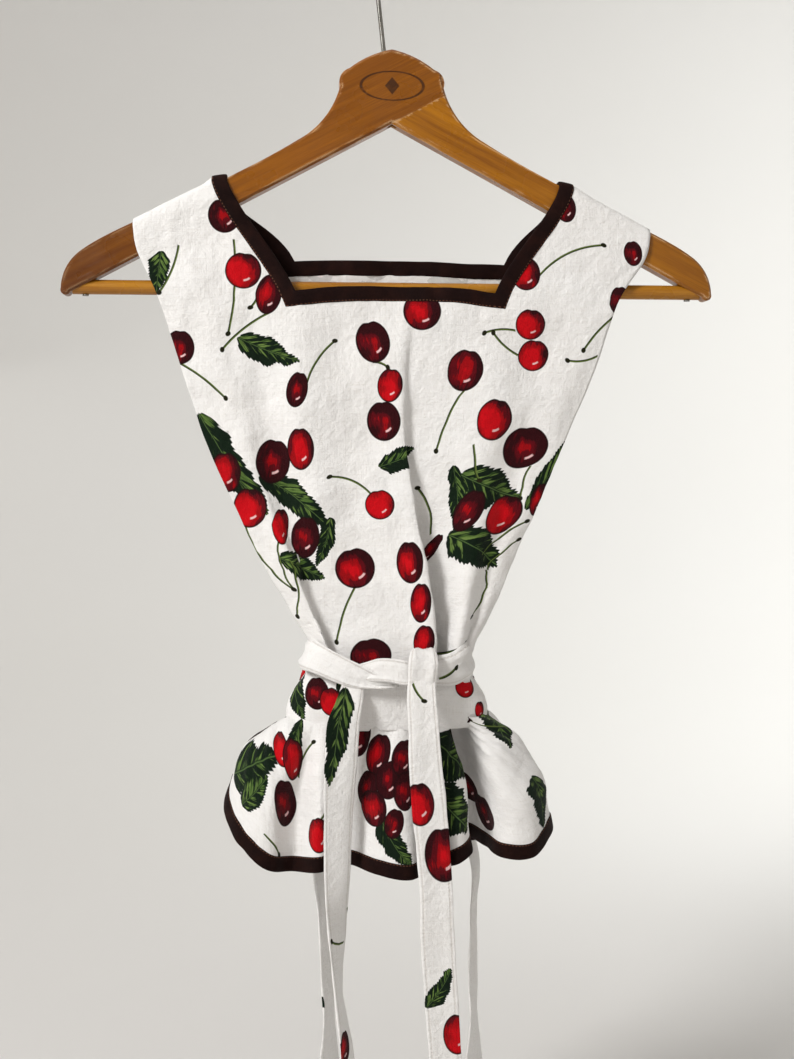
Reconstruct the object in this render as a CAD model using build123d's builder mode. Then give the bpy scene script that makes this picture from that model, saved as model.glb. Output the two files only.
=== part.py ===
"""Pinafore apron hung on a wooden suit hanger with a swivelling wire hook.

Origin: the inside top of the hook, where it sits on its rail. +Z is up, +X to the viewer's right,
and the apron's front faces -Y. Millimetres.
"""

import os
from math import acos, cos, degrees, radians, sin, sqrt

from build123d import *

# ---- driving dimensions: hook
wire_diameter = 3.0
hook_radius = 24.0  # centreline of the round of the hook
neck_radius = 16.0  # reverse bend between the stem and the round
stem_lean = 6.2  # degrees to the left, going up
tip_turn = 18.0  # how far the tip curls in, past the side of the round
bore_clearance = 0.08

# ---- driving dimensions: wooden hanger
board_thickness = 13.0
edge_break = 1.5
hub_top = -88.0
hub_corner = (27.5, -100.5)
hub_side = (33.5, -112.0)
arm_root = (61.0, -146.7)
arm_bend = (170.0, -202.3)
arm_heel = (199.0, -218.5)
arm_tip = (212.0, -242.5)
roof_apex = -135.2  # underside of the hub
roof_slope = 28.0  # degrees, underside of both arms
tongue_thickness = 4.4  # middle layer of the glued joint in the hub
collar_radius = 3.0
collar_length = 4.0
collar_recess = 6.5
bar_diameter = 9.4
bar_height = -241.2
bar_half_length = 205.0
nail_diameter = 1.8
nail_length = 19.0
nail_hole_depth = 16.0
nail_head_diameter = 4.0
nail_head_thickness = 1.0
nail_place = 197.0
past_arms = 230.0  # cutting shapes reach this far across and down
past_bar = -270.0
joint_reach = 90.0  # half the width of the glued joint at its top
bore_length = 60.0

# ---- driving dimensions: apron
arm_gap = 1.0  # between the board's faces and the cloth
panel_depth = 7.0  # room that one folded panel takes
shoulder_inner = 110.0
shoulder_outer = 166.0
shoulder_lift = 0.8
shoulder_cloth = 2.0
waist_half_width = 64.0
waist_top = -478.0
waist_bottom = -527.0
waist_depth = 22.0
hem_height = -618.0
binding_width = 10.0
binding_thickness = 1.4
tie_width = 22.0
tie_thickness = 2.4
tail_end = -845.0
tail_depth = 50.0
tail_gap = 1.4  # between a knot and the tails below it
knot_centre = (17.0, -490.0)

board_half = board_thickness / 2
cloth_near = board_half + arm_gap
cloth_far = cloth_near + panel_depth
wire_radius = wire_diameter / 2
hook_centre = -(hook_radius - wire_radius)
roof_rise = sin(radians(roof_slope)) / cos(radians(roof_slope))


def roof(across):
    """Height of the arms' underside at a distance from the middle."""
    return roof_apex - roof_rise * abs(across)


def arm_top(across):
    """Height of the arms' straight top edge at a distance from the middle."""
    share = (abs(across) - arm_root[0]) / (arm_bend[0] - arm_root[0])
    return arm_root[1] + share * (arm_bend[1] - arm_root[1])


def panel(outline, front, back):
    """A closed slab with an outline seen from the front, between two depths along Y."""
    with BuildPart() as slab:
        with BuildSketch(Plane.XZ.offset(-back)):
            with BuildLine():
                Polyline(*outline, close=True)
            make_face()
        extrude(amount=back - front)
    return slab.part


def keep(part, label):
    """Names a finished piece and writes it as its own STEP file."""
    part.label = label
    export_step(part, f"parts/{label}.step")
    print(label, round(part.volume), "mm3")


os.makedirs("parts", exist_ok=True)

# ---- hook wire: straight stem through the hub, reverse bend, round, curled tip
stem_foot = (0.0, roof_apex + 1.0)
drop = hook_centre - stem_foot[1]
stem_offset = drop * sin(radians(stem_lean))
neck_turn = degrees(acos((neck_radius + stem_offset) / (hook_radius + neck_radius)))
bend_start = sqrt((hook_radius + neck_radius) ** 2 - (neck_radius + stem_offset) ** 2)
stem_length = drop * cos(radians(stem_lean)) - bend_start
stem_up = (-sin(radians(stem_lean)), cos(radians(stem_lean)))
stem_plane = Plane(origin=(stem_foot[0], 0, stem_foot[1]), z_dir=(stem_up[0], 0, stem_up[1]))

with BuildPart() as hook_wire:
    with BuildLine(Plane.XZ) as hook_path:
        stem = PolarLine(stem_foot, stem_length, angle=90 + stem_lean)
        neck = JernArc(stem @ 1, stem % 1, neck_radius, neck_turn)
        JernArc(neck @ 1, neck % 1, hook_radius, -(neck_turn + stem_lean + 180 + tip_turn))
    with BuildSketch(stem_plane):
        Circle(wire_radius)
    sweep()
    tip_face = hook_wire.faces().filter_by(GeomType.PLANE).sort_by(Axis.Z)[-1]
    fillet(tip_face.edges(), wire_radius * 0.8)
keep(hook_wire.part, "hook_wire")

with BuildPart() as hook_collar:
    with BuildSketch(stem_plane):
        Circle(collar_radius)
        Circle(wire_radius, mode=Mode.SUBTRACT)
    extrude(amount=collar_length)
    fillet(hook_collar.edges().filter_by(GeomType.CIRCLE).sort_by(SortBy.RADIUS)[-2:], 0.6)
keep(hook_collar.part, "hook_collar")

# ---- wooden board: both arms and the hub as one outline, then shared between the two halves
with BuildPart() as board:
    with BuildSketch(Plane.XZ.offset(-board_half)):
        with BuildLine():
            underside = Line((0, roof_apex), (206.0, roof(206.0)))
            nose = ThreePointArc(underside @ 1, (211.0, roof(208.5)), arm_tip)
            heel = ThreePointArc(nose @ 1, (208.0, -228.5), arm_heel)
            Spline(heel @ 1, arm_bend, arm_root, tangents=[(-1.0, 0.72), (-1.0, 0.62)])
            waist = ThreePointArc(arm_root, (42.0, -130.0), hub_side)
            corner = ThreePointArc(waist @ 1, (32.8, -104.6), hub_corner)
            ThreePointArc(corner @ 1, (14.5, -92.6), (0, hub_top))
            mirror(about=Plane.YZ)
        make_face()
    extrude(amount=board_thickness)
    chamfer(board.faces().filter_by(Plane.XZ).edges(), edge_break)

# the glued joint: the left arm forms the two outer cheeks and the right arm the tongue between
with BuildPart() as left_share:
    for side, start, depth in (
        (1, board_half, board_half - tongue_thickness / 2),
        (-1, tongue_thickness / 2, tongue_thickness),
        (1, -tongue_thickness / 2, board_half - tongue_thickness / 2),
    ):
        with BuildSketch(Plane.XZ.offset(-start)):
            with BuildLine():
                Polyline(
                    (0, roof_apex),
                    (side * joint_reach, roof_apex + roof_rise * joint_reach),
                    (side * joint_reach, 0),
                    (-past_arms, 0),
                    (-past_arms, past_bar),
                    (0, past_bar),
                    close=True,
                )
            make_face()
        extrude(amount=depth)

with BuildPart() as hub_holes:
    with BuildSketch(stem_plane):
        Circle(wire_radius + bore_clearance)
    extrude(amount=bore_length)
    with BuildSketch(stem_plane):
        Circle(collar_radius + 2 * bore_clearance)
    extrude(amount=collar_recess)
    extrude(hub_holes.faces().sort_by(Axis.Z)[0], amount=6)

with BuildPart() as nail_holes:
    for place in (-nail_place, nail_place):
        with BuildSketch(Plane.XY.offset(bar_height)):
            with Locations((place, 0)):
                Circle(nail_diameter / 2)
        extrude(amount=nail_hole_depth)

for arm, share_mode in (("arm_left", Mode.INTERSECT), ("arm_right", Mode.SUBTRACT)):
    with BuildPart() as half:
        add(board.part)
        add(left_share.part, mode=share_mode)
        add(hub_holes.part, mode=Mode.SUBTRACT)
        add(nail_holes.part, mode=Mode.SUBTRACT)
    keep(half.part, arm)

# ---- trouser bar: a dowel mitred to the underside of the arms, held by a nail at each end
with BuildPart() as trouser_bar:
    with BuildSketch(Plane.YZ.offset(-bar_half_length)):
        with Locations((0, bar_height)):
            Circle(bar_diameter / 2)
    extrude(amount=2 * bar_half_length)
    with BuildSketch(Plane.XZ.offset(-board_half)):
        with BuildLine():
            Polyline(
                (0, roof_apex),
                (past_arms, roof(past_arms)),
                (past_arms, past_bar),
                (-past_arms, past_bar),
                (-past_arms, roof(past_arms)),
                close=True,
            )
        make_face()
    extrude(amount=board_thickness, mode=Mode.INTERSECT)
    with BuildSketch(Plane.XY.offset(bar_height - bar_diameter)):
        with Locations((-nail_place, 0), (nail_place, 0)):
            Circle(nail_diameter / 2)
    extrude(amount=2 * bar_diameter, mode=Mode.SUBTRACT)
keep(trouser_bar.part, "trouser_bar")

with BuildPart() as bar_nails:
    with BuildSketch(Plane.XY.offset(bar_height - bar_diameter / 2)):
        with Locations((-nail_place, 0), (nail_place, 0)):
            Circle(nail_diameter / 2)
    extrude(amount=nail_length)
    with BuildSketch(Plane.XY.offset(bar_height - bar_diameter / 2 - nail_head_thickness)):
        with Locations((-nail_place, 0), (nail_place, 0)):
            Circle(nail_head_diameter / 2)
    extrude(amount=nail_head_thickness)
keep(bar_nails.part, "bar_nails")

# ---- bodice: front and back panels joined over the arms by the shoulder seams
shoulder_seam = arm_top(shoulder_inner), arm_top(shoulder_outer)


def strap_cap(side, front, back):
    """The part of a shoulder strap that lies over the top edge of an arm."""
    low_in, low_out = (height + shoulder_lift for height in shoulder_seam)
    inner, outer = side * shoulder_inner, side * shoulder_outer
    rise = shoulder_lift + shoulder_cloth
    cap = [
        (inner, low_in),
        (outer, low_out),
        (outer, low_out + rise),
        (inner, low_in + rise),
    ]
    return panel(cap, front, back)


side_left = [(-160.0, -222.0), (-138.0, -290.0), (-121.0, -338.0), (-80.0, -427.0)]
side_right = [(73.0, -433.0), (115.0, -337.0), (135.0, -290.0), (162.0, -222.0)]
front_neck = [(118.0, -188.0), (72.0, -254.0), (-68.0, -254.0), (-116.0, -180.0)]
back_neck = [(108.0, -186.0), (82.0, -234.0), (-69.0, -234.0), (-110.0, -180.0)]
right_strap_inner = 120.0
strap_top_left = [
    (-shoulder_inner, arm_top(shoulder_inner)),
    (-shoulder_outer, arm_top(shoulder_outer)),
]
strap_top_right = [
    (shoulder_outer, arm_top(shoulder_outer)),
    (right_strap_inner, arm_top(right_strap_inner)),
]
waist_line = [(-52.0, waist_top), (52.0, waist_top)]


def bodice(neck, front, back, cap_front, cap_back):
    """One bodice panel with its square neck, and its halves of the two shoulder caps."""
    lift = shoulder_lift + shoulder_cloth
    tops = [[(x, z + lift) for x, z in top] for top in (strap_top_left, strap_top_right)]
    outline = tops[0] + side_left + waist_line + side_right + tops[1] + neck
    with BuildPart() as shape:
        add(panel(outline, front, back))
        for side in (-1, 1):
            add(strap_cap(side, cap_front, cap_back))
    return shape.part


keep(bodice(front_neck, -cloth_far, -cloth_near, -cloth_near, 0), "front_bodice")
keep(bodice(back_neck, cloth_near, cloth_far, 0, cloth_near), "back_bodice")

# ---- bias bindings round the square necks, each one folded strip mitred at its corners
binding_far = cloth_far + binding_thickness
binding_lift = shoulder_lift + shoulder_cloth


def neck_binding(neck, inner_corners, inner_tops, front, back, cap_front, cap_back):
    """The strip between a panel's neck edge and the finished neckline, over both shoulders."""
    (left_x, left_z), (right_x, right_z) = strap_top_left[0], strap_top_right[1]
    outer = [(left_x, left_z + binding_lift)] + neck[::-1] + [(right_x, right_z + binding_lift)]
    left_top, right_top = ((x, arm_top(x) + binding_lift) for x in inner_tops)
    with BuildPart() as strip:
        add(panel(outer + [right_top] + inner_corners + [left_top], front, back))
        for outer_x, inner_x in ((left_x, inner_tops[0]), (shoulder_inner, inner_tops[1])):
            cap = [
                (outer_x, arm_top(outer_x) + shoulder_lift),
                (inner_x, arm_top(inner_x) + shoulder_lift),
                (inner_x, arm_top(inner_x) + shoulder_lift + binding_lift),
                (outer_x, arm_top(outer_x) + shoulder_lift + binding_lift),
            ]
            add(panel(cap, cap_front, cap_back))
    return strip.part


front_inner = [(67.0, -243.0), (-62.5, -243.0)]
back_inner = [(76.0, -224.0), (-63.0, -224.0)]
keep(
    neck_binding(front_neck, front_inner, (-101.0, 102.0), -binding_far, -cloth_near, -cloth_near, 0),
    "front_neck_binding",
)
keep(
    neck_binding(back_neck, back_inner, (-98.0, 99.0), cloth_near, binding_far, 0, cloth_near),
    "back_neck_binding",
)

# ---- waistbands, and the ties that are sewn to their ends
band_near = 8.0
band = [
    (-waist_half_width, waist_top),
    (waist_half_width, waist_top),
    (waist_half_width, waist_bottom),
    (-waist_half_width, waist_bottom),
]
keep(panel(band, -waist_depth, -band_near), "front_waistband")
keep(panel(band, band_near, waist_depth), "back_waistband")

tie_side = waist_half_width + tie_thickness
tie_far = waist_depth + tie_thickness
front_tie_top = waist_top
back_tie_top = waist_bottom + tie_width


def tie_wrap(side, facing, top, inner_end, sag):
    """A tie from the waistband's end round the side to the knot. facing is -1 for the front."""
    low = top - tie_width
    run = [
        (side * tie_side, top),
        (side * tie_side, low),
        (inner_end, low - sag),
        (inner_end, top - sag),
    ]
    depths = sorted((facing * waist_depth, facing * tie_far))
    with BuildPart() as wrap:
        add(panel(run, *depths))
        with BuildSketch(Plane.XY.offset(low)):
            with BuildLine():
                Polyline(
                    (side * waist_half_width, -facing * waist_depth),
                    (side * tie_side, -facing * waist_depth),
                    (side * tie_side, facing * waist_depth),
                    (side * waist_half_width, facing * waist_depth),
                    close=True,
                )
            make_face()
        extrude(amount=tie_width)
    return wrap.part


knot_width = 22.0
knot_height = 24.0
knot_depth = tail_depth - tie_far
front_knot_edges = (knot_centre[0] - knot_width / 2, knot_centre[0] + knot_width / 2)
keep(tie_wrap(-1, -1, front_tie_top, front_knot_edges[0], 2.0), "front_tie_left")
keep(tie_wrap(1, -1, front_tie_top, front_knot_edges[1], 2.0), "front_tie_right")
keep(tie_wrap(-1, 1, back_tie_top, -knot_width / 2, 0.0), "back_tie_left")
keep(tie_wrap(1, 1, back_tie_top, knot_width / 2, 0.0), "back_tie_right")


def knot(centre_x, centre_z, facing):
    """The half knot where two ties cross, as one rounded block of folded cloth."""
    with BuildPart() as block:
        with BuildSketch(Plane.XZ.offset(-facing * tie_far)):
            with Locations((centre_x, centre_z)):
                RectangleRounded(knot_width, knot_height, 7)
        extrude(amount=-facing * knot_depth)
    return block.part


back_knot_height = back_tie_top - tie_width / 2
keep(knot(*knot_centre, -1), "front_knot")
keep(knot(0, back_knot_height, 1), "back_knot")

# ---- peplum: two gathered panels that flare from the waistband, with bound hems
front_plan_top = [(-64, -8), (-64, -24), (40, -24), (40, -8)]
front_plan_hem = [(-104, -8), (-96, -42), (44, -45), (48, -8)]
back_plan_top = [(-64, 8), (-64, 24), (64, 24), (64, -20), (44, -20), (44, 8)]
back_plan_hem = [(-92, 8), (-84, 42), (92, 44), (105, -26), (52, -30), (52, 8)]
binding_top = hem_height + binding_width


def flared(top_plan, hem_plan):
    """A peplum panel as a solid, from its outline at the waist to its outline at the binding."""
    with BuildPart() as skirt:
        for height, plan in ((waist_bottom, top_plan), (binding_top, hem_plan)):
            with BuildSketch(Plane.XY.offset(height)):
                with BuildLine():
                    Polyline(*plan, close=True)
                make_face()
        loft(ruled=True)
    return skirt.part


def hem(plan):
    """The bound edge below a peplum panel."""
    with BuildPart() as edge:
        with BuildSketch(Plane.XY.offset(hem_height)):
            with BuildLine():
                Polyline(*plan, close=True)
            make_face()
        extrude(amount=binding_width)
    return edge.part


keep(flared(front_plan_top, front_plan_hem), "front_peplum")
keep(flared(back_plan_top, back_plan_hem), "back_peplum")
keep(hem(front_plan_hem), "front_hem_binding")
keep(hem(back_plan_hem), "back_hem_binding")

# ---- loose ends of the ties, which hang from the knots and swing clear of the peplum
front_tail_top = knot_centre[1] - knot_height / 2 - tail_gap
back_tail_top = back_knot_height - knot_height / 2 - tail_gap


def tail(left_edge, right_edge, top, facing):
    """A hanging tie end between two edges, each a list of (across, height) below its top."""
    outline = left_edge + right_edge[::-1]
    depths = sorted((facing * tail_depth, facing * (tail_depth - tie_thickness)))
    clipped = [(x, min(z, top)) for x, z in outline]
    return panel(clipped, *depths)


tails = {
    "front_tail_left": (
        [(-34, 0), (-46, -540), (-45, -620), (-37, -755), (-44, tail_end)],
        [(-20, 0), (-26, -600), (-32, -700), (-24, -760), (-22, tail_end)],
        front_tail_top,
        -1,
    ),
    "front_tail_right": (
        [(8, 0), (11, -570), (21, -742), (27, tail_end)],
        [(28, 0), (31, -560), (43, -742), (49, tail_end)],
        front_tail_top,
        -1,
    ),
    "back_tail_left": (
        [(-22, 0), (-50, -620), (-52, tail_end)],
        [(-2, 0), (-28, -620), (-30, tail_end)],
        back_tail_top,
        1,
    ),
    "back_tail_right": (
        [(2, 0), (40, -620), (42, tail_end)],
        [(22, 0), (62, -620), (64, tail_end)],
        back_tail_top,
        1,
    ),
}
for label, shape in tails.items():
    keep(tail(*shape), label)
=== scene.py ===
"""Looks of a cherry-print apron hung on a wooden suit hanger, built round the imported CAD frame."""

import math
import random

import bmesh
import bpy
import numpy as np
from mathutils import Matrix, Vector, noise


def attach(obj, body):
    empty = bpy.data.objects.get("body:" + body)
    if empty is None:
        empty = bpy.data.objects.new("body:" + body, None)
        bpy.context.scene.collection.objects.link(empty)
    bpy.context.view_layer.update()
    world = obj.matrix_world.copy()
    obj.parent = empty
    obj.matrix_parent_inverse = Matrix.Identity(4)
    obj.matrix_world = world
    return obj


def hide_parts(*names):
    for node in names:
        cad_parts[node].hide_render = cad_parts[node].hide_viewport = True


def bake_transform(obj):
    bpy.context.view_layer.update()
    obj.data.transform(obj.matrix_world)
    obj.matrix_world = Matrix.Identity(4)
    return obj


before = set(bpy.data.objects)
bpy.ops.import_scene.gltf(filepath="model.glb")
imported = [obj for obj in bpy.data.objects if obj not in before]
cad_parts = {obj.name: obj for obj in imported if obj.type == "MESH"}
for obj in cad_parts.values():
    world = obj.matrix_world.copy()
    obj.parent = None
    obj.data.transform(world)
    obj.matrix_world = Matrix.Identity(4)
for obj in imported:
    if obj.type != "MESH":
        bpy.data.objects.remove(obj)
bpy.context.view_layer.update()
scene = bpy.context.scene
MM = 0.001

# ---------------------------------------------------------------- camera, light and stage

AIM = Vector((3.6, 0.0, -398.0)) * MM
CAMERA_DISTANCE = 0.9
CAMERA_TURN = math.radians(4.6)
CAMERA_RISE = math.radians(3.0)
towards_camera = Vector(
    (
        -math.sin(CAMERA_TURN) * math.cos(CAMERA_RISE),
        -math.cos(CAMERA_TURN) * math.cos(CAMERA_RISE),
        math.sin(CAMERA_RISE),
    )
)
camera_data = bpy.data.cameras.new("camera")
camera_data.lens = 46.36
camera_data.sensor_width = 36.0
camera_data.clip_end = 20.0
camera = bpy.data.objects.new("camera", camera_data)
camera.location = AIM + towards_camera * CAMERA_DISTANCE
camera.rotation_euler = (-towards_camera).to_track_quat("-Z", "Y").to_euler()
scene.collection.objects.link(camera)
scene.camera = camera
scene.view_settings.view_transform = "Standard"


def add_light(name, place, aim, size, power, colour):
    """A square soft light at place, turned to aim, all in metres."""
    data = bpy.data.lights.new(name, "AREA")
    data.size = size
    data.energy = power
    data.color = colour
    light = bpy.data.objects.new(name, data)
    light.location = place
    light.rotation_euler = (Vector(aim) - Vector(place)).to_track_quat("-Z", "Y").to_euler()
    scene.collection.objects.link(light)


MIDDLE = (0.0, 0.0, -0.4)
add_light("key", (-1.5, -1.35, 0.95), MIDDLE, 0.6, 49.0, (1.0, 0.997, 0.99))
add_light("fill", (1.7, -1.5, 0.0), MIDDLE, 1.4, 2.8, (0.99, 0.99, 1.0))
add_light("back", (-1.2, 2.0, 0.6), MIDDLE, 1.4, 4.5, (1.0, 1.0, 1.0))
add_light("top", (0.0, 0.2, 2.3), MIDDLE, 2.2, 8.5, (1.0, 1.0, 1.0))
add_light("wash", (1.2, 1.0, 0.5), (1.5, 3.0, -1.0), 1.6, 24.0, (0.94, 0.985, 1.0))
world = bpy.data.worlds.new("world")
world.use_nodes = True
world.node_tree.nodes["Background"].inputs[0].default_value = (1.0, 0.965, 0.92, 1.0)
world.node_tree.nodes["Background"].inputs[1].default_value = 0.24
scene.world = world


# ---------------------------------------------------------------- shader helpers


class Graph:
    """One material's nodes, made with short calls."""

    def __init__(self, name):
        self.material = bpy.data.materials.new(name)
        self.material.use_nodes = True
        self.tree = self.material.node_tree
        self.shader = self.tree.nodes["Principled BSDF"]

    def feed(self, socket, value):
        if isinstance(value, bpy.types.NodeSocket):
            self.tree.links.new(value, socket)
        else:
            socket.default_value = value

    def node(self, kind, inputs=(), **settings):
        made = self.tree.nodes.new("ShaderNode" + kind)
        for key, value in settings.items():
            setattr(made, key, value)
        for key, value in dict(inputs).items():
            self.feed(made.inputs[key], value)
        return made

    def math(self, operation, a, b=0.0, c=0.0):
        made = self.node("Math", operation=operation)
        for socket, value in zip(made.inputs, (a, b, c)):
            self.feed(socket, value)
        return made.outputs[0]

    def total(self, *terms):
        result = terms[0]
        for term in terms[1:]:
            result = self.math("ADD", result, term)
        return result

    def product(self, *terms):
        result = terms[0]
        for term in terms[1:]:
            result = self.math("MULTIPLY", result, term)
        return result

    def ramp(self, value, low, high, start=0.0, end=1.0):
        keys = {"Value": value, "From Min": low, "From Max": high, "To Min": start, "To Max": end}
        if low > high:
            keys.update({"From Min": high, "From Max": low, "To Min": end, "To Max": start})
        return self.node("MapRange", keys, interpolation_type="SMOOTHSTEP").outputs[0]

    def mix(self, factor, a, b):
        made = self.node("Mix", {0: factor, 6: a, 7: b}, data_type="RGBA")
        return made.outputs[2]

    def vector(self, name):
        return self.node("Attribute", attribute_name=name).outputs["Vector"]

    def parts(self, vector):
        return self.node("SeparateXYZ", {0: vector}).outputs

    def join(self, x, y, z):
        return self.node("CombineXYZ", {0: x, 1: y, 2: z}).outputs[0]

    def noise(self, vector, scale, detail=2.0, rough=0.5):
        keys = {"Vector": vector, "Scale": scale, "Detail": detail, "Roughness": rough}
        return self.node("TexNoise", keys).outputs[0]

    def streaks(self, parts, scales, detail=2.0, rough=0.5):
        """Noise drawn out along an axis by its own scale on each of the three."""
        place = [self.product(part, scale) for part, scale in zip(parts, scales)]
        return self.noise(self.join(*place), 1.0, detail, rough)

    def bump(self, height, strength, distance):
        keys = {"Height": height, "Strength": strength, "Distance": distance}
        self.feed(self.shader.inputs["Normal"], self.node("Bump", keys).outputs[0])

    def set(self, **values):
        for key, value in values.items():
            self.feed(self.shader.inputs[key.replace("_", " ")], value)


def colour(red, green, blue):
    """A colour given as 0 to 255 screen values, turned to the linear values that shaders use."""
    return tuple((v / 255.0) ** 2.2 for v in (red, green, blue)) + (1.0,)


# ---------------------------------------------------------------- printed cotton

CHERRY_SLOTS = ("cherry_a", "cherry_b", "cherry_c")
LEAF_SLOTS = ("leaf_a", "leaf_b")
STEM_SLOTS = ("stem_a", "stem_b", "stem_c")
SLOTS = {"cherry": CHERRY_SLOTS, "leaf": LEAF_SLOTS, "stem": STEM_SLOTS}
NOWHERE = 9.0


def print_leaf(g, name, base):
    """A toothed leaf over base, in the slot's own coordinates: -1 to 1 along it, and its seed."""
    along, out, seed = g.parts(g.vector(name))[:3]
    side = g.math("ABSOLUTE", out)
    square = g.math("MULTIPLY", along, along)
    belly = g.math("POWER", g.math("MAXIMUM", g.math("SUBTRACT", 1.0, square), 0.0), 0.75)
    teeth = g.math("PINGPONG", g.math("MULTIPLY_ADD", side, -1.3, along), 0.07)
    halves = g.math("SIGN", out)
    wobble = g.noise(g.join(g.product(along, 1.5), halves, seed), 1.7, 2.0)
    width = g.total(
        g.product(belly, g.math("MULTIPLY_ADD", along, -0.12, 0.42)),
        g.product(teeth, 0.75),
        g.product(g.math("SUBTRACT", wobble, 0.5), 0.42),
        -0.03,
    )
    inside = g.product(g.ramp(g.math("SUBTRACT", side, width), 0.012, -0.012), g.ramp(square, 1.0, 0.96))
    upper = g.ramp(out, -0.01, 0.01)
    slant = g.math("MULTIPLY_ADD", side, -1.5, along)
    brush = g.noise(g.join(g.product(slant, 9.0), g.product(side, 2.2), seed), 1.0, 3.0, 0.65)
    patch = g.noise(g.join(along, out, seed), 2.4, 1.0)
    vein = g.math("PINGPONG", g.math("ADD", slant, g.product(patch, 0.2)), 0.17)
    share = g.math("DIVIDE", side, g.math("MAXIMUM", width, 0.01))
    glow = g.total(
        g.product(vein, 1.5), brush, g.product(upper, 0.14), g.product(patch, 0.9), g.product(share, -0.2)
    )
    stroke = g.product(g.ramp(glow, 1.12, 1.24), g.ramp(share, 0.92, 0.72), g.ramp(side, 0.01, 0.05))
    dark = g.mix(brush, colour(4, 15, 9), colour(22, 42, 24))
    bright = g.mix(g.ramp(brush, 0.4, 0.7), colour(58, 84, 38), colour(110, 134, 70))
    green = g.mix(stroke, dark, bright)
    green = g.mix(g.ramp(side, 0.016, 0.006), green, colour(74, 96, 54))
    return g.mix(inside, base, green)


def print_stem(g, name, base):
    """A thin stem with a knob at its far end, in millimetres along and across it."""
    along, out, half = g.parts(g.vector(name))[:3]
    side = g.math("ABSOLUTE", out)
    reach = g.math("SUBTRACT", half, g.math("ABSOLUTE", along))
    line = g.product(g.ramp(side, 0.95, 0.55), g.ramp(reach, -0.3, 0.3))
    knob_along = g.math("ADD", g.math("SUBTRACT", along, half), 0.6)
    knob = g.math("SQRT", g.math("ADD", g.product(knob_along, knob_along), g.product(out, out)))
    near = g.product(g.ramp(knob, 1.9, 1.4), g.ramp(half, 0.5, 1.0))
    shade = g.mix(g.ramp(out, -0.4, 0.4), colour(38, 50, 22), colour(96, 112, 56))
    with_line = g.mix(line, base, shade)
    return g.mix(near, with_line, colour(34, 34, 16))


def print_cherry(g, name, base):
    """A cherry of radius 1, dented at its top, darker or lighter by its tone."""
    x, y, tone = g.parts(g.vector(name))[:3]
    dip = g.math("MAXIMUM", g.math("MULTIPLY_ADD", g.math("ABSOLUTE", x), -3.2, 1.0), 0.0)
    lift = g.math("MAXIMUM", y, 0.0)
    square_y = g.product(y, y)
    middle = g.math("SQRT", g.math("ADD", g.product(x, x), square_y))
    away = g.math("ADD", middle, g.product(dip, lift, 0.09))
    inside = g.ramp(away, 1.0, 0.955)
    seed = g.product(tone, 37.0)
    waist = g.math("SQRT", g.math("MAXIMUM", g.math("MULTIPLY_ADD", square_y, -0.85, 1.0), 0.04))
    line = g.math("DIVIDE", x, waist)
    streak = g.noise(g.join(g.product(line, 4.2), g.product(y, 0.8), seed), 1.5, 2.0, 0.6)
    blot = g.noise(g.join(x, y, seed), 1.1, 1.0)
    dark = g.total(
        middle,
        g.product(x, 0.22),
        g.product(y, 0.16),
        g.product(g.math("SUBTRACT", blot, 0.5), 1.2),
        g.product(g.math("SUBTRACT", streak, 0.5), 0.75),
        g.product(g.math("SUBTRACT", 0.5, tone), 0.95),
        0.06,
    )
    flesh = g.mix(g.ramp(dark, 0.1, 0.45), colour(196, 7, 24), colour(150, 2, 18))
    flesh = g.mix(g.ramp(dark, 0.54, 0.66), flesh, colour(90, 3, 20))
    flesh = g.mix(g.ramp(dark, 0.78, 0.98), flesh, colour(50, 2, 14))
    flesh = g.mix(g.ramp(away, 0.84, 0.96), flesh, colour(36, 2, 10))
    arc = g.math("ABSOLUTE", g.math("SUBTRACT", middle, 0.52))
    toward = g.math("ADD", g.product(x, 0.45), g.product(y, -0.89))
    facing = g.math("SUBTRACT", toward, g.product(middle, 0.93))
    gleam = g.product(g.ramp(arc, 0.075, 0.03), g.ramp(facing, -0.01, 0.02))
    flesh = g.mix(gleam, flesh, colour(232, 190, 190))
    return g.mix(inside, base, flesh)


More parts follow.
